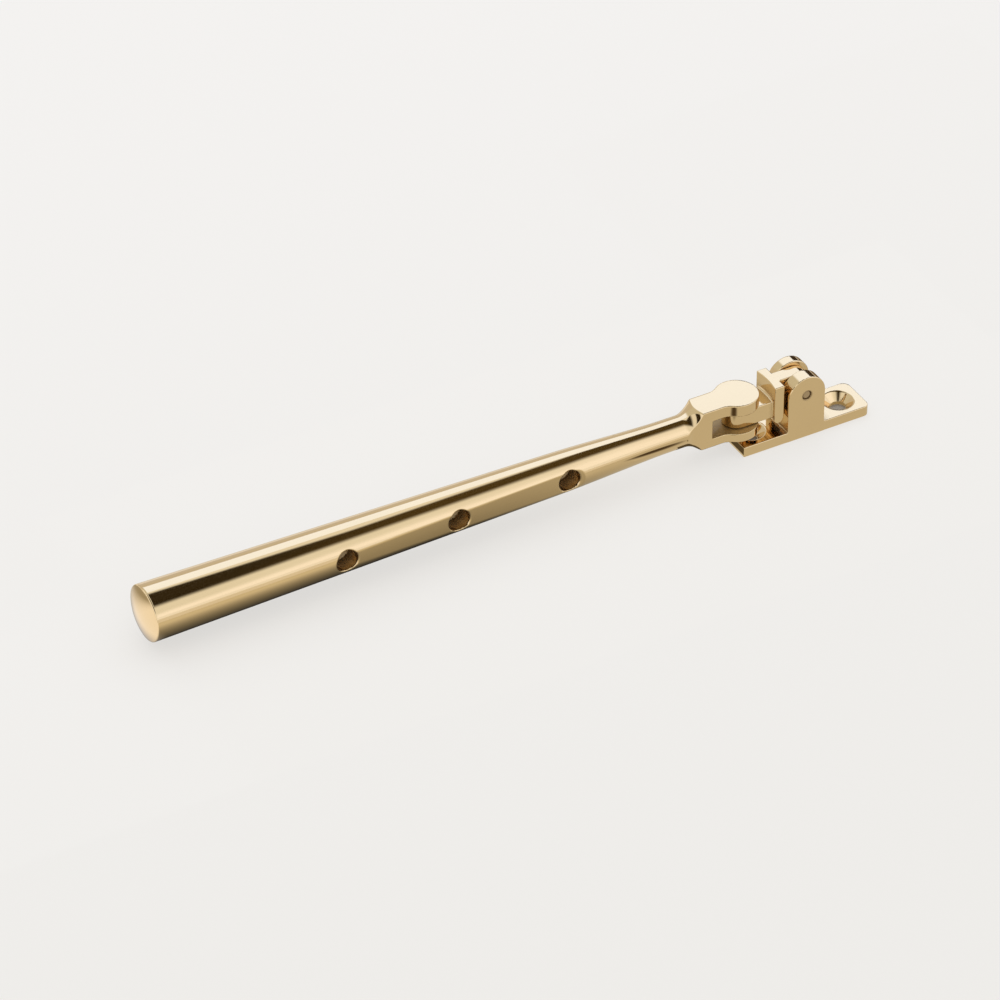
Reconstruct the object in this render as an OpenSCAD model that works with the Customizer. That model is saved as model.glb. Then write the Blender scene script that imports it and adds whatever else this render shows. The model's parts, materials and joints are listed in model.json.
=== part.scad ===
// Casement stay: a round tapered bar with peg holes, forked at its thin end.
// The fork turns on a knuckle, and the knuckle turns between two ears on a fixing plate.
// The origin is on the plate's underside, straight below the hinge pin.
// +Z leaves the plate, the bar runs along -X, and the peg holes open towards -Y.

/* [Fixing plate] */
// Length of the plate from below the hinge pin to its free end
plate_out = 21; // [19.5:0.1:30]
// Length of the plate from below the hinge pin to its end under the fork
plate_in = 20; // [19.5:0.1:30]
// Width of the plate
plate_w = 13; // [12:0.1:18]
// Thickness of the plate
plate_t = 3.2; // [2.6:0.1:4]
// Radius of the corners at the free end of the plate
outer_corner_r = 2.2; // [0.5:0.1:3]
// Radius of the corners at the end under the fork
inner_corner_r = 0.4; // [0.2:0.1:2]
// Distance between the two screw holes
screw_spacing = 28.8; // [26:0.1:40]
// Diameter of a screw hole
screw_hole_d = 4.5; // [3:0.1:5]
// Diameter of a countersink at the plate's face
countersink_d = 9; // [7:0.1:9.8]

/* [Ears] */
// Radius of an ear's round top, which is also half its width
ear_r = 5.85; // [5:0.05:6]
// Height of the hinge pin above the plate's underside
hinge_z = 14.1; // [13.6:0.1:16]
// Set-back of the rear ear from the plate's rear edge
ear_setback = 1.1; // [0:0.1:1.6]
// Height of the floor between the ears above the plate's face
ear_floor = 1.4; // [0.5:0.1:3]
// Chamfer at the mouth of each ear's pin hole
ear_chamfer = 0.3; // [0.1:0.05:0.5]

/* [Hinge pin] */
// Diameter of the hinge pin
hinge_pin_d = 2.8; // [2:0.1:3.5]
// Depth of the pin's ends below the ears' outer faces
hinge_pin_recess = 0.35; // [0:0.05:0.8]

/* [Knuckle] */
// Thickness of the stem between the ears
stem_w = 4.1; // [3:0.1:5]
// Height of the stem's top above the hinge pin, and radius of its round end
stem_r = 4.6; // [3.5:0.1:5]
// Thickness of the flange across the stem
flange_t = 3.15; // [2.5:0.05:4]
// Width of the flange
flange_w = 10; // [9:0.1:12]
// Height of the flange
flange_h = 12.2; // [11:0.1:12.6]
// Depth of the hollow in the flange's face towards the fork
flange_hollow = 0.55; // [0.2:0.05:0.8]
// Width of the tongue, which has a full round end
tongue_w = 8; // [7:0.1:9]
// Thickness of the tongue
tongue_t = 5.4; // [4.5:0.1:5.6]
// Radius of the fillet where the tongue meets the flange
tongue_fillet = 0.8; // [0.3:0.1:1.2]

/* [Pivot pin] */
// Diameter of the pivot pin
pivot_pin_d = 3.4; // [2.5:0.1:4]
// Depth of the pin in the blind hole of the upper cheek
pivot_pin_seat = 2.2; // [1.5:0.1:2.6]
// Depth of the pin's foot below the lower cheek's face
pivot_pin_recess = 0.3; // [0:0.05:0.6]

/* [Fork] */
// Distance from the hinge pin to the pivot pin
pivot_x = 19; // [18:0.1:24]
// Height of the bar's axis above the plate's underside
axis_z = 11.1; // [10.6:0.1:12]
// Width of the fork's block between its flat sides
fork_w = 8.1; // [8.1:0.1:10]
// Radius of the cheeks' round ends
lobe_r = 6.3; // [5.5:0.1:7]
// Radius of the hollow blend from the block to the round ends
lobe_blend_r = 5; // [2:0.1:8]
// Height of the slot for the tongue
slot_h = 5.9; // [5.7:0.1:6.6]
// Depth of the slot behind the pivot pin
slot_l = 9.8; // [8:0.1:11]
// Length of the block's flat sides behind the pivot pin
side_l = 15.5; // [14:0.1:16]
// Radius of the cutter that leaves the ends of the flat sides
side_cutter_r = 4; // [3:0.1:5]
// Thickness of the upper cheek
upper_cheek_t = 3.6; // [3:0.1:4.5]
// Thickness of the lower cheek
lower_cheek_t = 2.8; // [2:0.1:3.2]

/* [Bar] */
// Length from the hinge pin to the tip of the bar
stay_l = 203; // [170:1:330]
// Radius of the bar at its fat end
bar_end_r = 8.15; // [7:0.05:10]
// Distance from the hinge pin to the shoulder, where the long taper ends
shoulder_x = 72; // [66:0.5:80]
// Radius of the bar at the shoulder
shoulder_r = 5.75; // [5.2:0.05:6.5]
// Distance from the hinge pin to the foot of the short taper
waist_x = 45; // [42:0.5:55]
// Radius of the neck before the fork
neck_r = 4.55; // [4.1:0.05:4.8]
// Distance from the pivot pin to the cove
neck_l = 18.1; // [17.5:0.1:20]
// Radius of the cove that flares from the neck to the fork's block
cove_r = 6; // [5:0.1:7]
// Height of the domed tip
dome_h = 1.7; // [0.8:0.1:5]

/* [Peg holes] */
// Number of peg holes
peg_count = 3; // [2:1:4]
// Diameter of a peg hole
peg_d = 6.5; // [5:0.1:7]
// Depth of a peg hole below the flat
peg_depth = 5.6; // [4:0.1:6]
// Distance between peg holes
peg_pitch = 34.7; // [25:0.1:36]
// Distance from the hinge pin to the nearest peg hole
peg_first = 74.5; // [60:0.5:90]
// Chamfer at the mouth of a peg hole
peg_chamfer = 0.45; // [0.2:0.05:0.8]
// Depth at its middle of the flat that joins the peg holes
flat_depth = 0.58; // [0.4:0.02:0.8]
// Lean of the flat against the bar's axis, in degrees
flat_lean = 1.5; // [0.9:0.1:1.8]
// Length of the flat past the outer peg holes' centres
flat_margin = 2; // [1.6:0.1:8]
// Radius of the cutter that leaves the flat's ends
flat_cutter_r = 4.5; // [2:0.5:12]

/* [Fits] */
// Room between the stem and each ear
ear_clear = 0.2; // [0.1:0.05:0.4]
// Room between the flange and the ears' faces
flange_clear = 0.6; // [0.4:0.05:1]
// Radial running clearance of a pin in the knuckle
pin_run = 0.05; // [0.01:0.01:0.1]
// Radial interference of a pin where it is pressed in
pin_press = 0.01; // [0:0.005:0.02]

/* [Hidden] */
$fn = 96;
// Overlap that lets a cut run clear of a face
past = 1;
// Overlap where a round runs out into the fork's round ends or flat sides
blend_lap = 0.02;
brass = [0.83, 0.68, 0.38];
pin_brass = [0.72, 0.60, 0.36];
drill_point_angle = 118;

// Ears and stem
ear_front = -plate_w / 2;
ear_rear = plate_w / 2 - ear_setback;
ear_gap = stem_w + 2 * ear_clear;
ear_floor_z = plate_t + ear_floor;
knuckle_top = hinge_z + stem_r;
flange_back = ear_r + flange_clear;
flange_face = flange_back + flange_t;
flange_foot = knuckle_top - flange_h;
hollow_r = (pow(flange_w / 2, 2) + pow(flange_hollow, 2)) / (2 * flange_hollow);

// Fork and bar, measured from the hinge pin along the bar
slot_top = axis_z + slot_h / 2;
slot_floor = axis_z - slot_h / 2;
fork_top = slot_top + upper_cheek_t;
fork_foot = slot_floor - lower_cheek_t;
slot_end = pivot_x + slot_l;
neck_x = pivot_x + neck_l;
cove_x = neck_x - cove_r;
side_x = pivot_x + side_l;
blend_y = fork_w / 2 + lobe_blend_r;
blend_dx = sqrt(pow(lobe_r + lobe_blend_r - blend_lap, 2) - pow(blend_y, 2));
rim_x = stay_l - dome_h;
dome_r = (pow(bar_end_r, 2) + pow(dome_h, 2)) / (2 * dome_h);
taper = (bar_end_r - shoulder_r) / (rim_x - shoulder_x);
flat_l = (peg_count - 1) * peg_pitch + 2 * flat_margin;
flat_mid = peg_first + (peg_count - 1) * peg_pitch / 2;

// Radius of the long taper at a distance from the hinge pin
function bar_r(along) = shoulder_r + taper * (along - shoulder_x);

// Distance of the flat in front of the bar's axis, at a distance from the hinge pin
function flat_out(along) = bar_r(flat_mid) - flat_depth + tan(flat_lean) * (along - flat_mid);

// A rectangle from its lowest corner to its highest
module box2(low, high) {
    translate(low) square(high - low);
}

// Stands a plan of radius and distance up as a solid of revolution about the bar's axis
module turned_about_bar() {
    translate([0, 0, axis_z]) rotate([0, -90, 0]) rotate_extrude() children();
}

// Extrudes a side view, drawn in X and Z, from one place across the bar to another
module between(front, rear) {
    translate([0, rear, 0]) rotate([90, 0, 0]) linear_extrude(rear - front) children();
}

// Extrudes a side view to a width centred on the bar's plane
module across(width) {
    between(-width / 2, width / 2) children();
}

// Outline of the plate: each end has its own corner radius
module plate_plan() {
    half = plate_w / 2;
    for (side = [-1, 1]) {
        translate([inner_corner_r - plate_in, side * (half - inner_corner_r)]) circle(inner_corner_r);
        translate([plate_out - outer_corner_r, side * (half - outer_corner_r)]) circle(outer_corner_r);
    }
    box2([inner_corner_r - plate_in, -half], [plate_out - outer_corner_r, half]);
    box2([-plate_in, inner_corner_r - half], [0, half - inner_corner_r]);
    box2([0, outer_corner_r - half], [plate_out, half - outer_corner_r]);
}

// Side view of the ears, down to the plate's underside
module ear_side() {
    translate([0, hinge_z]) circle(ear_r);
    box2([-ear_r, 0], [ear_r, hinge_z]);
}

// Screw hole with its countersink, from the plate's face
module screw_hole() {
    sink = (countersink_d - screw_hole_d) / 2;
    translate([0, 0, -past]) cylinder(d = screw_hole_d, h = plate_t + 2 * past);
    translate([0, 0, plate_t - sink]) cylinder(d1 = screw_hole_d, d2 = countersink_d + 2 * past, h = sink + past);
}

// Chamfered mouth of an ear's pin hole, sunk along +Z
module pin_mouth(bore_r) {
    translate([0, 0, -past]) cylinder(r1 = bore_r + ear_chamfer + past, r2 = bore_r, h = ear_chamfer + past);
}

// Cast plate with its two ears, drilled and countersunk
module fixing_plate() {
    bore_r = hinge_pin_d / 2 - pin_press;
    color(brass) difference() {
        union() {
            linear_extrude(plate_t) plate_plan();
            between(ear_front, ear_rear) ear_side();
        }
        across(ear_gap) box2([-ear_r - past, ear_floor_z], [ear_r + past, hinge_z + ear_r + past]);
        for (end = [-1, 1]) translate([end * screw_spacing / 2, 0, 0]) screw_hole();
        between(ear_front - past, ear_rear + past) translate([0, hinge_z]) circle(bore_r);
        translate([0, ear_front, hinge_z]) rotate([-90, 0, 0]) pin_mouth(bore_r);
        translate([0, ear_rear, hinge_z]) rotate([90, 0, 0]) pin_mouth(bore_r);
    }
}

// Plain pin pressed through both ears
module hinge_pin() {
    color(pin_brass) between(ear_front + hinge_pin_recess, ear_rear - hinge_pin_recess)
        translate([0, hinge_z]) circle(d = hinge_pin_d);
}

// Side view of the stem: a bar with a full round end about the hinge pin
module stem_side() {
    translate([0, hinge_z]) circle(stem_r);
    box2([-flange_face + flange_hollow + past / 2, hinge_z - stem_r], [0, knuckle_top]);
}

// Side view of the flange, with a full round foot
module flange_side() {
    foot_r = flange_t / 2;
    translate([-flange_back - foot_r, flange_foot + foot_r]) circle(foot_r);
    box2([-flange_face, flange_foot + foot_r], [-flange_back, knuckle_top]);
}

// Flange with its face hollowed to clear the fork
module flange() {
    difference() {
        across(flange_w) flange_side();
        translate([-flange_face + flange_hollow - hollow_r, 0, flange_foot - past])
            cylinder(r = hollow_r, h = flange_h + 2 * past, $fn = 192);
    }
}

// Plan of the tongue: full round end, and fillets where it runs into the flange
module tongue_plan() {
    root = -flange_face + flange_hollow + past / 2;
    translate([-pivot_x, 0]) circle(d = tongue_w);
    box2([-pivot_x, -tongue_w / 2], [root, tongue_w / 2]);
    difference() {
        box2([-flange_face - tongue_fillet, -tongue_w / 2 - tongue_fillet],
             [root, tongue_w / 2 + tongue_fillet]);
        for (side = [-1, 1])
            translate([-flange_face - tongue_fillet, side * (tongue_w / 2 + tongue_fillet)])
                circle(tongue_fillet);
    }
}

// Side view of the fillets above and below the tongue
module tongue_root_side() {
    half = tongue_t / 2 + tongue_fillet;
    difference() {
        box2([-flange_face - tongue_fillet, axis_z - half], [-flange_face + flange_hollow + past / 2, axis_z + half]);
        for (side = [-1, 1])
            translate([-flange_face - tongue_fillet, axis_z + side * half]) circle(tongue_fillet);
    }
}

// Knuckle cast in one: tongue for the fork, flange across it and stem between the ears
module knuckle() {
    color(brass) difference() {
        union() {
            across(stem_w) stem_side();
            flange();
            translate([0, 0, axis_z - tongue_t / 2]) linear_extrude(tongue_t) tongue_plan();
            across(tongue_w) tongue_root_side();
        }
        translate([0, 0, hinge_z]) rotate([90, 0, 0])
            cylinder(r = hinge_pin_d / 2 + pin_run, h = stem_w + 2 * past, center = true);
        translate([-pivot_x, 0, axis_z])
            cylinder(r = pivot_pin_d / 2 + pin_run, h = tongue_t + 2 * past, center = true);
    }
}

// Plain pin driven in from beneath: through the lower cheek, seated in the upper one
module pivot_pin() {
    foot = fork_foot + pivot_pin_recess;
    color(pin_brass) translate([-pivot_x, 0, foot])
        cylinder(d = pivot_pin_d, h = slot_top + pivot_pin_seat - foot);
}

// Plan of the fork: flat-sided block that swells through hollow blends into the round ends
module fork_plan() {
    translate([-pivot_x, 0]) circle(lobe_r);
    box2([-side_x - past, -fork_w / 2], [-pivot_x, fork_w / 2]);
    for (side = [-1, 1]) translate([-pivot_x, 0]) difference() {
        polygon([[0, 0], [-blend_dx, side * blend_y], [-blend_dx, 0]]);
        translate([-blend_dx, side * blend_y]) circle(lobe_blend_r);
    }
}

// Half section of the turned blank: room for the fork, cove, neck, short and long taper, domed tip
module blank_section() {
    tip = stay_l + past;
    difference() {
        polygon([
            [0, 0], [3 * lobe_r, 0], [3 * lobe_r, cove_x], [neck_r + cove_r, cove_x], [neck_r + cove_r, neck_x],
            [neck_r, neck_x], [neck_r, waist_x], [shoulder_r, shoulder_x], [bar_r(tip), tip], [0, tip]
        ]);
        translate([neck_r + cove_r, neck_x]) circle(cove_r);
        difference() {
            box2([0, rim_x - past], [2 * bar_end_r, tip + past]);
            translate([0, stay_l - dome_r]) circle(dome_r, $fn = 192);
        }
    }
}

// All that is milled away around the fork, with a round run-out at the end of each flat side
module fork_surround() {
    reach = 4 * lobe_r;
    cutter_y = fork_w / 2 + side_cutter_r - blend_lap;
    translate([0, 0, axis_z - reach]) linear_extrude(2 * reach) difference() {
        union() {
            box2([-side_x, -reach], [reach, reach]);
            for (side = [-1, 1]) translate([-side_x, side * cutter_y]) circle(side_cutter_r);
        }
        fork_plan();
    }
    for (level = [fork_foot - reach, fork_top])
        translate([-side_x, -reach, level]) cube([side_x + reach, 2 * reach, reach]);
}

// Shallow flat, deepest near the fork, left by a cutter that plunges at each end
module peg_flat() {
    half = flat_l / 2;
    translate([-flat_mid, -flat_out(flat_mid), axis_z]) rotate([0, 0, flat_lean])
        linear_extrude(2 * bar_end_r, center = true) {
            for (end = [-1, 1]) translate([end * half, -flat_cutter_r]) circle(flat_cutter_r);
            box2([-half, -flat_cutter_r], [half, 0]);
        }
}

// Blind peg hole with a drill point and a chamfered mouth
module peg_hole(along) {
    point = peg_d / 2 / tan(drill_point_angle / 2);
    translate([-along, -flat_out(along), axis_z]) rotate([-90, 0, 0]) {
        translate([0, 0, -2 * past]) cylinder(d = peg_d, h = peg_depth + 2 * past);
        translate([0, 0, peg_depth]) cylinder(d1 = peg_d, d2 = 0, h = point);
        translate([0, 0, -past])
            cylinder(d1 = peg_d + 2 * (peg_chamfer + past), d2 = peg_d, h = peg_chamfer + past);
    }
}

// Bar, neck and fork in one piece, turned, then milled, slotted and drilled
module stay_arm() {
    pin_hole_r = pivot_pin_d / 2 - pin_press;
    color(brass) difference() {
        turned_about_bar() blank_section();
        fork_surround();
        across(2 * lobe_r + 2 * past) box2([-slot_end, slot_floor], [lobe_r + past - pivot_x, slot_top]);
        peg_flat();
        for (k = [0:peg_count - 1]) peg_hole(peg_first + k * peg_pitch);
        translate([-pivot_x, 0, fork_foot - past])
            cylinder(r = pin_hole_r, h = slot_top + pivot_pin_seat - fork_foot + past);
    }
}

fixing_plate();
hinge_pin();
knuckle();
pivot_pin();
stay_arm();
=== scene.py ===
import json

import bpy
import numpy as np
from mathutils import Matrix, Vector


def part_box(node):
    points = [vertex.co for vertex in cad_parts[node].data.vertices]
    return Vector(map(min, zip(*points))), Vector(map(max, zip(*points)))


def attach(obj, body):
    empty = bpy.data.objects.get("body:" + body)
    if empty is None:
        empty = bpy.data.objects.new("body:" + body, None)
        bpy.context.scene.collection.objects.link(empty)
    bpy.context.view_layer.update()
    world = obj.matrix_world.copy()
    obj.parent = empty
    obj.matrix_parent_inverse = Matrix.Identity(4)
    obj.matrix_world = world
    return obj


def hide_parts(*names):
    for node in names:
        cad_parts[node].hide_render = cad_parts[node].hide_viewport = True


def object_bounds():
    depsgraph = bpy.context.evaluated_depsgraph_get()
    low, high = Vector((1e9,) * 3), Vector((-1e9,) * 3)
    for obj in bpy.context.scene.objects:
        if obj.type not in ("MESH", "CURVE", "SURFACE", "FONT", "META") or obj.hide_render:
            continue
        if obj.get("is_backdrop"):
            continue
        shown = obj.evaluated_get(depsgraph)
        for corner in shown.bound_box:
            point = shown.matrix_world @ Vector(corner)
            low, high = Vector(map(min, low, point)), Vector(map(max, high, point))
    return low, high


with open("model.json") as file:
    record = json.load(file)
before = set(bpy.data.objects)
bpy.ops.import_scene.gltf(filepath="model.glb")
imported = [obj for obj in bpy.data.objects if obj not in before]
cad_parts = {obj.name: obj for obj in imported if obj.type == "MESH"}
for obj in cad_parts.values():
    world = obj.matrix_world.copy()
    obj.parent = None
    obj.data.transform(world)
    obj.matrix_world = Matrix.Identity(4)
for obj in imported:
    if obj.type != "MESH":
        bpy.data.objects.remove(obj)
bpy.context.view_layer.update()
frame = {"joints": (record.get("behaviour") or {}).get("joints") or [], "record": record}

# Fixing plate
# A brass casting: a flat plate with two upright ears, faced, polished and lacquered.
# Two countersunk wood screws hold it to the casement's bottom rail.

MM = 0.001
joint_at = {joint["name"]: np.array(joint["pos_m"]) / MM for joint in frame["joints"]}
mount = {entry["name"]: entry for entry in frame["record"]["mounts"]}
hinge_z = joint_at["plate_hinge"][2]
plate_low, plate_high = (np.array(corner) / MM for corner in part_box("fixing_plate"))
plate_t = 3.2
fork_end_corner_r = 0.4
free_end_corner_r = 2.2
screw_x = mount["fixing_screws"]["dims"]["spacing_x_mm"] / 2
screw_r = mount["fixing_screws"]["dims"]["hole_r_mm"]
countersink_r = 4.5
ear_r = plate_high[2] - hinge_z
ear_rear = 5.4
ear_gap = 4.5
ear_floor_z = 4.6
hinge_pin_r = 1.4
polished_edge = 0.25
cast_fillet = 0.35
bore_fade = 0.2
seam_w = 0.4
mesh_step = 0.25


def within(radius, *walls):
    """Distance past a solid that lies inside every wall: the largest wall distance, but where
    two or more walls come closer than the radius, the root of the sum of their squares, which
    rounds the edge between them."""
    deepest = np.maximum.reduce(np.broadcast_arrays(*walls))
    corner = sum(np.maximum(wall + radius, 0) ** 2 for wall in walls)
    return np.minimum(deepest, -radius) + np.sqrt(corner)


def joined(radius, *solids):
    """Distance past several solids run together, with a fillet of the radius in each corner:
    the same sum as within, taken on the void around them."""
    return -within(radius, *[-solid for solid in solids])


def between(along, low, high):
    """Distance past the nearer of two parallel faces."""
    return np.abs(along - (low + high) / 2) - (high - low) / 2


def slope(field, points, step=0.01):
    """Gradient of a distance field: differences of the field half a step to each side."""
    shifts = np.eye(3) * step / 2
    sides = [field(*(points + shift).T) - field(*(points - shift).T) for shift in shifts]
    return np.stack(sides, axis=1) / step


def skin(field, xs, ys, zs):
    """Surface of the solid where a distance field is negative, as points and quads. Each cell of
    the grid that the surface crosses gets one point: by least squares, the one nearest to the
    planes that touch the surface where it crosses the cell's edges, with a slight pull to the mean
    of those crossings. It is kept in its cell, then slid down the field's slope onto the surface.
    Each grid edge that crosses the surface gets one quad, through the four cells around it."""
    pull = 0.05
    slides = 6
    least_tilt = 0.2
    lines = (xs, ys, zs)
    value = field(xs[:, None, None], ys[None, :, None], zs[None, None, :])
    cells = np.array(value.shape) - 1
    crossings, rings = [], []
    for axis in range(3):
        near = np.moveaxis(np.moveaxis(value, axis, 0)[:-1], 0, axis)
        far = np.moveaxis(np.moveaxis(value, axis, 0)[1:], 0, axis)
        at = np.argwhere((near < 0) != (far < 0))
        start, stop = near[tuple(at.T)], far[tuple(at.T)]
        point = np.stack([line[index] for line, index in zip(lines, at.T)], axis=1)
        point[:, axis] += np.diff(lines[axis])[at[:, axis]] * start / (start - stop)
        around = []
        for across, beyond in ((0, 0), (1, 0), (1, 1), (0, 1)):
            cell = at.copy()
            cell[:, (axis + 1) % 3] -= across
            cell[:, (axis + 2) % 3] -= beyond
            around.append(np.ravel_multi_index(cell.T, cells))
        ring = np.stack(around, axis=1)
        crossings.append(point)
        rings.append(np.where((start < 0)[:, None], ring, ring[:, ::-1]))
    crossing = np.concatenate(crossings)
    used, owner = np.unique(np.concatenate(rings), return_inverse=True)
    quads = owner.reshape(-1, 4)
    normal = slope(field, crossing)
    normal /= np.linalg.norm(normal, axis=1)[:, None]

    def gathered(each):
        """Each cell's sum of a value over the crossings on its edges."""
        total = np.zeros((len(used), *each.shape[1:]))
        np.add.at(total, quads.ravel(), np.repeat(each, 4, axis=0))
        return total

    mean = gathered(crossing) / gathered(np.ones((len(crossing), 1)))
    planes = gathered(normal[:, :, None] * normal[:, None, :]) + pull * np.eye(3)
    target = gathered(normal * (normal * crossing).sum(axis=1)[:, None]) + pull * mean
    points = np.linalg.solve(planes, target[:, :, None])[:, :, 0]
    places = np.unravel_index(used, cells)
    low = np.stack([line[index] for line, index in zip(lines, places)], axis=1)
    high = np.stack([line[index + 1] for line, index in zip(lines, places)], axis=1)
    points = np.clip(points, low, high)
    for _ in range(slides):
        tilt = slope(field, points)
        steepness = np.maximum((tilt ** 2).sum(axis=1), least_tilt)
        points -= tilt * (field(*points.T) / steepness)[:, None]
    return points, quads


def even_lines(low, high, step):
    """Grid lines a step apart, from a little before low to a little after high. The overrun isn't a
    whole number of steps, so that no line lies in an end face."""
    overrun = 1.63 * step
    return np.arange(low - overrun, high + overrun, step)


def shelter(field, points, outward):
    """How far each point lies in a corner: the share of three short walks out of the surface that
    the field says leads towards other metal."""
    reaches = (0.5, 1.2, 2.6)
    lost = [np.clip(1 - field(*(points + outward * reach).T) / reach, 0, 1) for reach in reaches]
    return sum(lost) / len(reaches)


def ridge(field, points, outward):
    """How far each point lies on a rounded edge: what a short walk into the metal falls short of
    its own length in depth, as a share of what it loses on a sharp one."""
    walk = 0.7
    most_lost = 0.14
    lost = field(*(points - outward * walk).T) + walk
    return np.clip(lost / most_lost, 0, 1)


def solid_piece(name, body, field, lines, material, **marks):
    """A piece made from a distance field, with the field's slope as its normals, and with corners,
    edges and any further marks kept as numbers on its points. The corner number darkens the colour as
    painted shade, and a mark of painted shade in a recess counts as a corner."""
    points, quads = skin(field, *lines)
    outward = slope(field, points)
    outward /= np.linalg.norm(outward, axis=1)[:, None]
    mesh = bpy.data.meshes.new(name)
    mesh.from_pydata(points * MM, [], quads)
    mesh.polygons.foreach_set("use_smooth", np.ones(len(quads), bool))
    mesh.normals_split_custom_set_from_vertices(outward)
    values = {"corner": shelter(field, points, outward), "edge": ridge(field, points, outward)}
    values.update({mark: rule(*points.T) for mark, rule in marks.items()})
    # Painted shade: a recess's mark joins the corner number.
    values["corner"] = np.maximum(values["corner"], values.pop("seam", 0))
    for mark, value in values.items():
        layer = mesh.attributes.new(mark, "FLOAT", "POINT")
        layer.data.foreach_set("value", value.astype(np.float32))
    piece = bpy.data.objects.new(name, mesh)
    bpy.context.scene.collection.objects.link(piece)
    mesh.materials.append(material)
    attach(piece, body)
    return piece


class Wire:
    """A shader socket that can stand in a sum: each operator adds its Math node."""

    def __init__(self, tree, socket=None):
        self.tree = tree
        self.socket = socket

    def node(self, kind, settings=(), inputs=(), out=0):
        """Adds a node, with its settings first and then its sockets' values or links."""
        made = self.tree.nodes.new(kind)
        for key, value in dict(settings).items():
            setattr(made, key, value)
        for key, value in dict(inputs).items():
            if isinstance(value, Wire):
                self.tree.links.new(value.socket, made.inputs[key])
            else:
                made.inputs[key].default_value = value
        return Wire(self.tree, made.outputs[out] if made.outputs else None)

    def maths(self, operation, first, second):
        """Adds a Math node on two values or wires."""
        return self.node("ShaderNodeMath", {"operation": operation}, {0: first, 1: second})

    def __add__(self, other):
        return self.maths("ADD", self, other)

    __radd__ = __add__

    def __sub__(self, other):
        return self.maths("SUBTRACT", self, other)

    def __rsub__(self, other):
        return self.maths("SUBTRACT", other, self)

    def __mul__(self, other):
        return self.maths("MULTIPLY", self, other)

    __rmul__ = __mul__

    def __neg__(self):
        return self.maths("MULTIPLY", self, -1)

    def __abs__(self):
        return self.maths("ABSOLUTE", self, 0)

    def __or__(self, other):
        """The larger of the two."""
        return self.maths("MAXIMUM", self, other)

    __ror__ = __or__

    def blended(self, first, second):
        """A colour part of the way from the first to the second, by this value."""
        return self.node("ShaderNodeMix", {"data_type": "RGBA"}, {0: self, 6: first, 7: second}, 2)


def new_shader(name):
    """A material with an empty node tree, and a wire to start it from."""
    material = bpy.data.materials.new(name)
    material.use_nodes = True
    material.node_tree.nodes.clear()
    return material, Wire(material.node_tree)


def brass(name, bright, deep, corner_shade_film, cut, roughness, lacquer):
    """Brass seen close: a slow drift between two tones, long fine polishing lines along the bar,
    painted shade in corners and recesses, laid on as a brown film which is less of a metal and bare of
    lacquer, and duller metal where a cutter has left its marks."""
    line_stretch = (0.035, 1, 1)
    shade_film_cover = 0.55
    shade_film_dullness = 0.2
    cutter_dullness = 0.42
    relief_height = 0.01 * MM
    relief_strength = 0.1
    lacquer_roughness = 0.06
    material, start = new_shader(name)
    place = start.node("ShaderNodeTexCoord", out="Object")
    mm = place.node("ShaderNodeVectorMath", {"operation": "SCALE"}, {0: place, "Scale": 1 / MM})
    drawn = mm.node("ShaderNodeMapping", inputs={0: mm, "Scale": line_stretch})
    noise = "ShaderNodeTexNoise"
    drift = mm.node(noise, inputs={"Vector": mm, "Scale": 0.055, "Detail": 3})
    lines = mm.node(noise, inputs={"Vector": drawn, "Scale": 2.6, "Detail": 4, "Roughness": 0.6})
    grain = mm.node(noise, inputs={"Vector": mm, "Scale": 9, "Detail": 2})
    wave = mm.node(noise, inputs={"Vector": mm, "Scale": 0.16, "Detail": 1})
    corner = start.node("ShaderNodeAttribute", {"attribute_name": "corner"}, out="Fac")
    edge = start.node("ShaderNodeAttribute", {"attribute_name": "edge"}, out="Fac")
    tooled = start.node("ShaderNodeAttribute", {"attribute_name": "tooled"}, out="Fac")
    colour = drift.blended(bright, deep)
    colour = (tooled * (0.8 + 0.3 * lines)).blended(colour, cut)
    # Painted shade: the colour goes towards the brown film colour in corners and recesses.
    colour = (corner * (0.75 + 0.2 * grain)).blended(colour, corner_shade_film)
    wear = 0.05 * lines + 0.03 * grain * edge
    dullness = roughness + wear + shade_film_dullness * corner + cutter_dullness * tooled
    relief = wave * 6 + lines * (0.35 + 0.8 * tooled) + grain * (0.06 + 0.3 * tooled)
    dents = {"Strength": relief_strength, "Distance": relief_height, "Height": relief}
    metal = {
        "Base Color": colour,
        "Roughness": dullness,
        "Metallic": 1 - shade_film_cover * corner,
        "Coat Weight": lacquer * (1 - corner),
        "Coat Roughness": lacquer_roughness,
        "Normal": relief.node("ShaderNodeBump", inputs=dents),
    }
    shader = start.node("ShaderNodeBsdfPrincipled", inputs=metal)
    start.node("ShaderNodeOutputMaterial", inputs={"Surface": shader})
    return material


shade_film_colour = (0.19, 0.108, 0.03, 1)
cut_colour = (0.50, 0.335, 0.125, 1)
polished_brass = brass(
    "polished_brass",
    bright=(0.81, 0.605, 0.33, 1),
    deep=(0.77, 0.565, 0.30, 1),
    corner_shade_film=shade_film_colour,
    cut=cut_colour,
    roughness=0.055,
    lacquer=0.25,
)


def screw_hole(x, y, z, at):
    """A straight hole with a right-angled countersink: inside the drill's wall, or inside a cone
    that narrows as fast as it deepens."""
    out = np.hypot(x - at, y)
    slant = (out - countersink_r + plate_t - z) / np.sqrt(2)
    cone = np.maximum(slant, out - countersink_r - polished_edge)
    return np.minimum(out - screw_r, cone)


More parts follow.
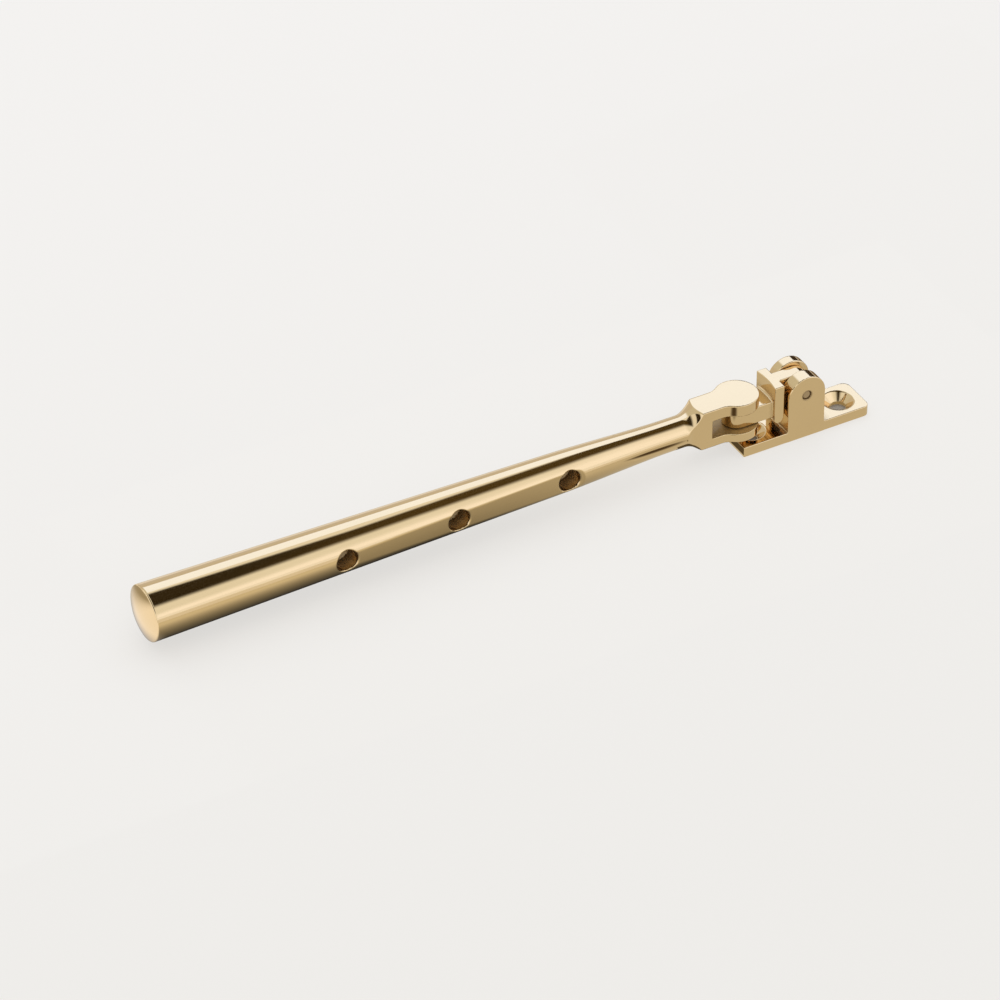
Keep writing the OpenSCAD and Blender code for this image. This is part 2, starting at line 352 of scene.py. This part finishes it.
def plate_and_ears(x, y, z):
    """The plate's outline and thickness and the ears' round-topped side view run together, faced
    off in front and beneath, then slotted between the ears and drilled."""
    half_w = plate_high[1]
    corner_r = np.where(x > 0, free_end_corner_r, fork_end_corner_r)
    plan = within(corner_r, between(x, plate_low[0], plate_high[0]), np.abs(y) - half_w)
    plate = within(polished_edge, plan, z - plate_t)
    side = np.hypot(x, np.maximum(z - hinge_z, 0)) - ear_r
    ears = within(polished_edge, side, y - ear_rear)
    casting = joined(cast_fillet, plate, within(polished_edge, ears, -half_w - y))
    casting = within(polished_edge, casting, -half_w - y, -z)
    slot = within(cast_fillet, np.abs(y) - ear_gap / 2, ear_floor_z - z)
    pin_hole = np.hypot(x, z - hinge_z) - hinge_pin_r
    screws = [screw_hole(x, y, z, at) for at in (-screw_x, screw_x)]
    return within(polished_edge, casting, *[-cut for cut in (slot, pin_hole, *screws)])


def plate_bores(x, y, z):
    """One inside the screw holes' straight walls, which no polishing wheel reaches; the darker cut
    colour there is also painted shade in the holes.
    """
    return np.clip(1 - (np.hypot(np.abs(x) - screw_x, y) - screw_r) / bore_fade, 0, 1)


def ear_seams(x, y, z):
    """Painted shade in the groove round the hinge pin: one at the rims of the ears' pin holes, fading
    to nothing a little way off.
    """
    return np.clip(1 - np.abs(np.hypot(x, z - hinge_z) - hinge_pin_r) / seam_w, 0, 1)


plate_lines = [even_lines(low, high, mesh_step) for low, high in zip(plate_low, plate_high)]
fixing_plate = solid_piece(
    "fixing_plate_polished", "base", plate_and_ears, plate_lines, polished_brass,
    tooled=plate_bores, seam=ear_seams,
)
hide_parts("fixing_plate")

# Hinge pin
# A plain drawn brass pin, driven through both ears and the knuckle's stem.
# Its ends sit a little below the ears' faces, slightly domed from the hammer.

pin_low, pin_high = (np.array(corner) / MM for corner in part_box("hinge_pin"))
pin_mid_y = (pin_low[1] + pin_high[1]) / 2
pin_edge = 0.35
pin_step = 0.12
head_dome_r = 9
head_centre = (pin_high[1] - pin_low[1]) / 2 - head_dome_r
unshaded_share = 0.6
seam_share = 0.3

drawn_brass = brass(
    "drawn_brass",
    bright=(0.52, 0.385, 0.235, 1),
    deep=(0.45, 0.33, 0.19, 1),
    corner_shade_film=shade_film_colour,
    cut=cut_colour,
    roughness=0.16,
    lacquer=0.0,
)


def hinge_pin_rod(x, y, z):
    """A cylinder across the ears, each end a shallow ball about a centre on the pin's axis."""
    out = np.hypot(x, z - hinge_z)
    heads = np.hypot(out, np.abs(y - pin_mid_y) - head_centre) - head_dome_r
    return within(pin_edge, out - hinge_pin_r, heads)


def pin_seam(x, y, z):
    """Painted shade in the groove round the pin's ends: rises from nothing inside the pin to one at its
    rim.
    """
    return np.clip((np.hypot(x, z - hinge_z) / hinge_pin_r - unshaded_share) / seam_share, 0, 1)


hinge_pin_lines = [even_lines(low, high, pin_step) for low, high in zip(pin_low, pin_high)]
hinge_pin = solid_piece(
    "hinge_pin_drawn", "base", hinge_pin_rod, hinge_pin_lines, drawn_brass, seam=pin_seam
)
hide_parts("hinge_pin")

# Knuckle
# One brass casting: a stem that turns between the ears, a flange across it with a dished face,
# and a round-ended tongue for the fork. Polished all over, with small fillets left from casting.

knuckle_low, knuckle_high = (np.array(corner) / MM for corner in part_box("knuckle"))
pivot_x, axis_z = joint_at["fork_pivot"][0], joint_at["fork_pivot"][2]
stem_w = 4.1
stem_r = knuckle_high[2] - hinge_z
flange_low_x = -9.6
flange_high_x = -6.45
flange_mid_x = (flange_low_x + flange_high_x) / 2
flange_foot_r = (flange_high_x - flange_low_x) / 2
dish_depth = 0.55
dish_r = (knuckle_high[1] ** 2 + dish_depth ** 2) / (2 * dish_depth)
tongue_r = 4
tongue_t = 5.4
tongue_fillet = 0.8
pivot_pin_r = 1.7
pin_run = 0.05


def knuckle_casting(x, y, z):
    """Tongue, flange and stem, each a side view or plan cut to its width, run together with
    fillets. One rounded wall caps stem and flange, so that their tops are flush."""
    tongue_plan = np.hypot(np.minimum(x - pivot_x, 0), y) - tongue_r
    root = x - flange_mid_x
    tongue = within(polished_edge, tongue_plan, np.abs(z - axis_z) - tongue_t / 2, root)
    foot_z = np.minimum(z - knuckle_low[2] - flange_foot_r, 0)
    flange_side = np.hypot(root, foot_z) - flange_foot_r
    dish = dish_r - np.hypot(x - flange_low_x - dish_depth + dish_r, y)
    flange = within(polished_edge, flange_side, np.abs(y) - knuckle_high[1], dish)
    stem_foot = within(stem_r, x - stem_r, hinge_z - stem_r - z)
    stem = within(polished_edge, stem_foot, np.abs(y) - stem_w / 2, -root)
    casting = joined(cast_fillet, joined(tongue_fillet, tongue, flange), stem)
    cap = within(stem_r, x - stem_r, z - knuckle_high[2])
    hinge_bore = np.hypot(x, z - hinge_z) - hinge_pin_r - pin_run
    pivot_bore = np.hypot(x - pivot_x, y) - pivot_pin_r - pin_run
    return within(polished_edge, casting, cap, -hinge_bore, -pivot_bore)


knuckle_lines = [even_lines(low, high, mesh_step) for low, high in zip(knuckle_low, knuckle_high)]
knuckle = solid_piece("knuckle_polished", "link", knuckle_casting, knuckle_lines, polished_brass)
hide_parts("knuckle")

# Pivot pin
# A plain drawn brass pin, driven up through the fork's lower cheek and the tongue.
# It stops in a blind hole in the upper cheek, so only its foot shows, from beneath.

pivot_low, pivot_high = (np.array(corner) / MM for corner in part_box("pivot_pin"))


def pivot_pin_rod(x, y, z):
    """A cylinder on the pivot's axis, with both rims rounded."""
    wall = np.hypot(x - pivot_x, y) - pivot_pin_r
    return within(pin_edge, wall, between(z, pivot_low[2], pivot_high[2]))


pivot_pin_lines = [even_lines(low, high, pin_step) for low, high in zip(pivot_low, pivot_high)]
pivot_pin = solid_piece("pivot_pin_drawn", "arm", pivot_pin_rod, pivot_pin_lines, drawn_brass)
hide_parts("pivot_pin")

# Stay arm
# Turned and milled from one brass bar: a domed tip, a long and a short taper, a neck and cove, and
# a fork slotted for the tongue. A shallow milled flat joins three blind peg holes in its front.

arm_low, arm_high = (np.array(corner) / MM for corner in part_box("stay_arm"))
fork_half_w = 4.05
lobe_r = arm_high[0] - pivot_x
lobe_blend_r = 5
fork_foot_z = 5.35
fork_top_z = 17.65
slot_low_z = 8.15
slot_high_z = 14.05
slot_end = 28.8
pivot_seat_z = 16.25
side_end = 34.5
side_cutter_r = 4
neck = 37.1
neck_r = 4.55
cove_r = 6
waist = 45
shoulder = 72
shoulder_r = 5.75
bar_end_r = (arm_high[1] - arm_low[1]) / 2
dome_h = 1.7
tip = -arm_low[0]
rim = tip - dome_h
dome_r = (bar_end_r ** 2 + dome_h ** 2) / (2 * dome_h)
long_taper = (bar_end_r - shoulder_r) / (rim - shoulder)
short_taper = (shoulder_r - neck_r) / (shoulder - waist)
taper_blend = 4
rim_edge = 0.3
peg_at = [-mount[f"peg_hole_{place}"]["pos_m"][0] / MM for place in ("near", "middle", "far")]
peg_r = mount["peg_hole_near"]["dims"]["r_mm"]
peg_depth = 5.6
peg_edge = 0.5
drill_lean = np.radians(59)
flat_depth = 0.58
flat_lean = np.radians(1.5)
flat_mid = (peg_at[0] + peg_at[-1]) / 2
flat_overrun = 2
flat_half = (peg_at[-1] - peg_at[0]) / 2 + flat_overrun
flat_cutter_r = 4.5
flat_edge = 0.12
mark_reach = 0.02
mark_fade = 0.1
flat_fade = 0.08
flat_marks = 0.25
hole_marks = 0.12
slot_shade = 0.26
hole_shade = 0.9
hole_unshaded_depth = 1.5
hole_shade_rise = 4
blend_y = fork_half_w + lobe_blend_r
blend_x = np.sqrt((lobe_r + lobe_blend_r) ** 2 - blend_y ** 2)


def run_past(along, bend):
    """How far a place along the bar lies past a bend, eased in by a hyperbola."""
    return (along - bend + np.hypot(along - bend, taper_blend)) / 2


def bar_r(along):
    """Radius at a distance from the hinge pin: the neck's, plus the short taper past the waist,
    less its surplus over the long taper past the shoulder."""
    past_neck = run_past(along, waist) - run_past(neck, waist)
    surplus = (short_taper - long_taper) * run_past(along, shoulder)
    return neck_r + short_taper * past_neck - surplus


def flat_out(along):
    """Distance of the flat in front of the bar's axis, at a distance from the hinge pin."""
    return bar_r(flat_mid) - flat_depth + np.tan(flat_lean) * (along - flat_mid)


def fork_plan(x, y):
    """A round end and a straight block, met by an arc that is tangent to both: inside the arc's
    sector the distance is the arc's, and elsewhere the nearer of the other two."""
    behind, aside = pivot_x - x, np.abs(y)
    lobe = np.hypot(behind, aside) - lobe_r
    block = np.maximum(aside - fork_half_w, -behind)
    from_x, from_y = behind - blend_x, aside - blend_y
    in_sector = (from_x < 0) & (from_x * blend_y > from_y * blend_x) & (from_y < 0)
    return np.where(in_sector, lobe_blend_r - np.hypot(from_x, from_y), np.minimum(lobe, block))


def peg_flat(x, y):
    """The milled flat, by its cutter's path in plan: a straight floor that leans against the bar's
    axis, and a quarter turn of the cutter at each end."""
    from_mid, out = -x - flat_mid, y + flat_out(flat_mid)
    run = from_mid * np.cos(flat_lean) - out * np.sin(flat_lean)
    rise = from_mid * np.sin(flat_lean) + out * np.cos(flat_lean)
    past_end = np.maximum(np.abs(run) - flat_half, 0)
    return np.hypot(past_end, np.maximum(rise + flat_cutter_r, 0)) - flat_cutter_r


def peg_hole(x, y, z, along):
    """A blind hole with a drill point, sunk along Y from the flat."""
    out = np.hypot(x + along, z - axis_z)
    depth = y + flat_out(along)
    point = (depth - peg_depth - (peg_r - out) / np.tan(drill_lean)) * np.sin(drill_lean)
    return np.maximum(out - peg_r, point)


def fork_slot(x, z, fillet):
    """The slot for the tongue, open at the fork's end, with fillets at its foot."""
    return within(fillet, between(z, slot_low_z, slot_high_z), -x - slot_end)


def fork_side(x, y):
    """The block's flat sides, by their cutter's path in plan: straight up to the cove, then up the
    cutter's round."""
    past_side = np.maximum(-x - side_end, 0)
    lift = side_cutter_r + fork_half_w - np.abs(y)
    return np.where(-x < side_end, -lift + side_cutter_r, side_cutter_r - np.hypot(past_side, lift))


def arm_bar(x, y, z):
    """Bar and cove of revolution, milled to the fork's block, then slotted, milled and drilled."""
    along, out = -x, np.hypot(y, z - axis_z)
    cove = cove_r - np.hypot(np.minimum(along, neck) - neck, out - neck_r - cove_r)
    turned = np.where(along < neck, cove, (out - bar_r(along)) * np.cos(np.arctan(long_taper)))
    dome = np.hypot(np.maximum(along - tip + dome_r, 0), out) - dome_r
    fork = within(polished_edge, fork_plan(x, y), between(z, fork_foot_z, fork_top_z))
    blank = within(rim_edge, turned, dome)
    forked = within(polished_edge, blank, fork)
    sided = within(polished_edge, blank, fork_side(x, y))
    arm = np.where(along < side_end, forked, sided)
    pin_hole = np.maximum(np.hypot(x - pivot_x, y) - pivot_pin_r, z - pivot_seat_z)
    arm = within(polished_edge, arm, -fork_slot(x, z, cast_fillet), -pin_hole)
    arm = within(flat_edge, arm, -peg_flat(x, y))
    return within(peg_edge, arm, *[-peg_hole(x, y, z, at) for at in peg_at])


def on_wall(past):
    """One in a cut and on its walls, fading to nothing a little way past them."""
    return np.clip(1 - (past - mark_reach) / mark_fade, 0, 1)


def arm_tooled(x, y, z):
    """One in the fork's slot, a quarter on the flat and less in the peg holes, which keep their
    cutters' marks. On the flat the slightly darker milled finish is partly painted shade."""
    slot = on_wall(fork_slot(x, z, 0))
    flat = flat_marks * (1 - np.abs(peg_flat(x, y)) / flat_fade) * (y < 0)
    holes = [hole_marks * on_wall(peg_hole(x, y, z, at)) for at in peg_at]
    return np.maximum.reduce([slot, flat, *holes])


def peg_hole_shade(x, y, z, at):
    """In a peg hole, painted shade that starts a little below the mouth and deepens to the foot."""
    depth = y + flat_out(at) - hole_unshaded_depth
    film = np.clip(depth / hole_shade_rise, 0, hole_shade)
    return np.where(peg_hole(x, y, z, at) < mark_fade, film, 0)


def arm_seam(x, y, z):
    """Painted shade: a quarter in the fork's slot, and rising to nearly one at the foot of the peg
    holes."""
    slot = slot_shade * on_wall(fork_slot(x, z, 0))
    return np.maximum.reduce([slot, *[peg_hole_shade(x, y, z, at) for at in peg_at]])


plain_step = 1.6
plain_gap = 0.5
fine_margin = 1
fine_past_neck = 1.5
fine_beside_peg = 5.4
close_stretches = [
    (-arm_high[0] - fine_margin, neck + fine_past_neck),
    *[(at - fine_beside_peg, at + fine_beside_peg) for at in peg_at],
    (rim - fine_margin, tip + fine_margin),
]
fine = [np.arange(low, high, mesh_step) for low, high in close_stretches]
coarse = np.arange(-arm_high[0], tip, plain_step)
clear_of_each = [
    (coarse < low - plain_gap) | (coarse > high + plain_gap) for low, high in close_stretches
]
far_from_fine = np.all(clear_of_each, axis=0)
along_lines = np.sort(np.concatenate([*fine, coarse[far_from_fine]]))
arm_lines = [
    np.sort(-along_lines),
    even_lines(arm_low[1], arm_high[1], mesh_step),
    even_lines(arm_low[2], arm_high[2], mesh_step),
]
stay_arm = solid_piece(
    "stay_arm_polished", "arm", arm_bar, arm_lines, polished_brass,
    tooled=arm_tooled, seam=arm_seam,
)
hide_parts("stay_arm")

# Floor
# A plain pale sheet that the stay lies on, wide enough to fill any view, a little paler far back as
# painted light.
# Most of its paleness stays in the shadow, but none under the plate, which shuts out the light, and
# there its colour is a painted shadow.
# It is clear from beneath, so that the stay's underside can be seen.

near_colour = (0.853, 0.838, 0.81, 1)
far_colour = (0.896, 0.88, 0.862, 1)
near_y, far_y = -250, 350
floor_half = 6
floor_z = -0.05 * MM
paleness = 0.74
painted_shadow_colour = (0.30, 0.27, 0.23, 1)
hidden_margin = 1


def flat_sheet(name, corners, material):
    """One four-sided sheet through its corners, which isn't part of the stay."""
    mesh = bpy.data.meshes.new(name)
    mesh.from_pydata(corners, [], [(0, 1, 2, 3)])
    mesh.materials.append(material)
    sheet = bpy.data.objects.new(name, mesh)
    bpy.context.scene.collection.objects.link(sheet)
    sheet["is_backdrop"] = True
    return sheet


def level_corners(low, high, z):
    """Corners of a level rectangle, in order."""
    return [(low[0], low[1], z), (high[0], low[1], z), (high[0], high[1], z), (low[0], high[1], z)]


def plan_place(start):
    """X and Y on a sheet, in millimetres."""
    place = start.node("ShaderNodeTexCoord", out="Object")
    mm = place.node("ShaderNodeVectorMath", {"operation": "SCALE"}, {0: place, "Scale": 1 / MM})
    return [mm.node("ShaderNodeSeparateXYZ", inputs={0: mm}, out=axis) for axis in "XY"]


def ramp(value, low, high):
    """Nothing below low, one above high, and a smooth rise between."""
    smooth = {"interpolation_type": "SMOOTHSTEP"}
    return value.node("ShaderNodeMapRange", smooth, {"Value": value, "From Min": low, "From Max": high})


floor_paint, start = new_shader("floor_paint")
x, y = plan_place(start)
by_camera = start.node("ShaderNodeLightPath", out="Is Camera Ray")
by_metal = start.node("ShaderNodeLightPath", out="Is Glossy Ray")
by_glass = start.node("ShaderNodeLightPath", out="Is Transmission Ray")
inside_x = ramp(plate_high[0] - hidden_margin - abs(x), 0, hidden_margin)
inside_y = ramp(plate_high[1] - hidden_margin - abs(y), 0, hidden_margin)
hidden = inside_x * inside_y
# Painted light: the floor's colour grows paler towards the back.
colour = ramp(y, near_y, far_y).blended(near_colour, far_colour)
# Painted shadow: the floor's colour goes dark under the plate.
floor_with_painted_shadow = hidden.blended(colour, painted_shadow_colour)
glow = paleness * (by_camera * (1 - hidden) + by_metal + by_glass)
matt = start.node("ShaderNodeBsdfPrincipled", inputs={"Base Color": floor_with_painted_shadow, "Roughness": 0.9})
pale = start.node("ShaderNodeEmission", inputs={"Color": colour})
above = start.node("ShaderNodeMixShader", inputs={0: glow, 1: matt, 2: pale})
from_below = start.node("ShaderNodeNewGeometry", out="Backfacing")
clear = start.node("ShaderNodeBsdfTransparent")
seen = start.node("ShaderNodeMixShader", inputs={0: from_below, 1: above, 2: clear})
start.node("ShaderNodeOutputMaterial", inputs={"Surface": seen})
floor_corners = level_corners((-floor_half, -floor_half), (floor_half, floor_half), floor_z)
flat_sheet("floor", floor_corners, floor_paint)

# Studio
# Cards that only polished metal sees, as a photographer stands them around brass: a soft-edged dark
# flag in a bright ceiling, a cool sheet behind, a grey one low behind and shades on the floor.
# A sky that is brighter overhead lights the floor, with one soft lamp behind.


def card(name, corners, colour):
    """A sheet that shows only in reflections. Its colour is fixed, or a rule works it out from the
    sheet's X and Y in millimetres."""
    material, start = new_shader(name)
    glow = colour(*plan_place(start)) if callable(colour) else (*colour, 1)
    shine = start.node("ShaderNodeEmission", inputs={"Color": glow})
    start.node("ShaderNodeOutputMaterial", inputs={"Surface": shine})
    sheet = flat_sheet(name, corners, material)
    sheet.visible_camera = False
    sheet.visible_diffuse = False
    sheet.visible_shadow = False
    sheet.visible_transmission = False
    return sheet


def ceiling_colour(x, y):
    """Bright, more so towards the plate, but for a dark flag with soft edges, a slanting one in
    front and a bent one behind, and with a bright gap across it to the left."""
    bright = ramp(x, 30, 230).blended((0.95, 1.0, 1.08, 1), (1.22, 1.28, 1.5, 1))
    dark = ramp(x, -60, 20).blended((0.030, 0.020, 0.006, 1), (0.075, 0.050, 0.012, 1))
    bend_x = -15
    front_soft, back_soft = 80, 28
    gap_near, gap_far = (110, 200), (300, 360)
    front_edge = 0.8 * x - 187
    back_edge = 0.95 * abs(x - bend_x) + 27
    before = ramp(front_edge - y, -front_soft, front_soft)
    behind = ramp(y - back_edge, -back_soft, back_soft)
    gap = ramp(-x, *gap_near) - ramp(-x, *gap_far)
    return (before | behind | gap).blended(dark, bright)


def back_colour(x, y):
    """Cool and bright behind the stay, dimmer to the left."""
    return ramp(x, -130, -40).blended((0.70, 0.72, 0.70, 1), (1.19, 1.40, 1.95, 1))


def low_colour(x, y):
    """Grey behind the stay, nearly black to the right."""
    return ramp(x, 360, 500).blended((0.68, 0.66, 0.63, 1), (0.05, 0.035, 0.02, 1))


plate_shade = (0.65, 0.62, 0.54, 1)


def floor_shade(x, y):
    """Darkest under the fat end of the bar, paler away from it to both sides, nearly as pale as
    the floor under the plate, and bright past the bar's tip, but not behind it."""
    fades = {"bar": (-2, 38), "plate": (-110, -30), "behind": (12, 45), "tip": (tip - 8, tip + 6)}
    by_bar = ramp(abs(y), *fades["bar"]).blended((0.01, 0.01, 0.01, 1), (0.75, 0.71, 0.60, 1))
    by_plate = ramp(x, *fades["plate"]).blended(by_bar, plate_shade)
    past_tip = ramp(y, *fades["behind"]).blended((1.1, 1.1, 1.15, 1), (0.42, 0.39, 0.32, 1))
    return ramp(-x, *fades["tip"]).blended(by_plate, past_tip)


def neck_shade(x, y):
    """A dark spot in front of the neck, fading into the shade around the plate."""
    spot_x, spot_y = -38, -20
    core_r2, spot_r2 = 10, 100
    from_x, from_y = x - spot_x, y - spot_y
    away = ramp(from_x * from_x + from_y * from_y, core_r2, spot_r2)
    return away.blended((0.08, 0.055, 0.03, 1), plate_shade)


ceiling_z = 0.30
back_left, back_right = -0.9, 1.2
back_low_z, back_high_z = 0.31, 0.46
back_y = 0.75
card("ceiling", level_corners((-0.7, -2.0), (0.6, 0.13), ceiling_z), ceiling_colour)
back_top = [(back_right, back_y, back_high_z), (back_left, back_y, back_high_z)]
card("back_sheet", [(back_left, 0, back_low_z), (back_right, 0, back_low_z), *back_top], back_colour)
card("low_sheet", [(back_left, back_y, 0), (back_right, back_y, 0), *back_top], low_colour)
lowest_shade_z = 0.2 * MM
shade_gap = 0.1 * MM
shades = [
    ("floor_shade", (-0.30, -0.064), (0.07, 0.064), floor_shade),
    ("rear_shade", (0.008, 0.009), (0.15, 0.15), (0.20, 0.14, 0.07)),
    ("neck_shade", (-0.048, -0.030), (-0.028, -0.010), neck_shade),
    ("fork_shade", (-0.036, -0.0062), (-0.0202, 0.0062), (0.10, 0.08, 0.05)),
]
for level, (name, low, high, colour) in enumerate(shades):
    card(name, level_corners(low, high, lowest_shade_z + level * shade_gap), colour)

lamp = bpy.data.lights.new("soft_lamp", "AREA")
lamp.shape = "DISK"
lamp.size = 1.6
lamp.energy = 2.5
soft_lamp = bpy.data.objects.new("soft_lamp", lamp)
soft_lamp.location = (0.75, 1.3, 1.6)
soft_lamp.rotation_mode = "QUATERNION"
soft_lamp.rotation_quaternion = soft_lamp.location.to_track_quat("Z", "Y")
soft_lamp.visible_glossy = False
soft_lamp.visible_camera = False
bpy.context.scene.collection.objects.link(soft_lamp)

backdrop_colour = (0.87, 0.855, 0.83, 1)
room_colour = (1.08, 1.13, 1.28, 1)
zenith_colour = (1.32, 1.32, 1.32, 1)
horizon_colour = (0.30, 0.30, 0.30, 1)
horizon_up = 0.1
world = bpy.data.worlds.new("studio")
bpy.context.scene.world = world
world.use_nodes = True
world.node_tree.nodes.clear()
air = Wire(world.node_tree)
sky_colours = (backdrop_colour, room_colour, zenith_colour, horizon_colour)
backdrop, room, zenith, horizon = (
    air.node("ShaderNodeBackground", inputs={"Color": colour}) for colour in sky_colours
)
upwards = air.node("ShaderNodeTexCoord", out="Generated")
overhead = ramp(upwards.node("ShaderNodeSeparateXYZ", inputs={0: upwards}, out="Z"), horizon_up, 1)
by_metal = air.node("ShaderNodeLightPath", out="Is Glossy Ray")
by_glass = air.node("ShaderNodeLightPath", out="Is Transmission Ray")
by_camera = air.node("ShaderNodeLightPath", out="Is Camera Ray")
fill = air.node("ShaderNodeMixShader", inputs={0: overhead, 1: horizon, 2: zenith})
lit = air.node("ShaderNodeMixShader", inputs={0: by_metal + by_glass, 1: fill, 2: room})
sky = air.node("ShaderNodeMixShader", inputs={0: by_camera, 1: lit, 2: backdrop})
air.node("ShaderNodeOutputWorld", inputs={"Surface": sky})

# Camera
# A long lens, from the front left and well above, as the stay is shown.

camera_at = Vector((-0.76119, -1.18426, 1.03965))
camera_back = Vector((-0.39130, -0.69405, 0.60430))
lens = bpy.data.cameras.new("camera")
lens.lens = 226.8
lens.sensor_width = 36
camera = bpy.data.objects.new("camera", lens)
camera.location = camera_at
camera.rotation_mode = "QUATERNION"
camera.rotation_quaternion = camera_back.to_track_quat("Z", "Y")
bpy.context.scene.collection.objects.link(camera)
bpy.context.scene.camera = camera
bpy.context.scene.view_settings.view_transform = "Standard"

low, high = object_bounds()
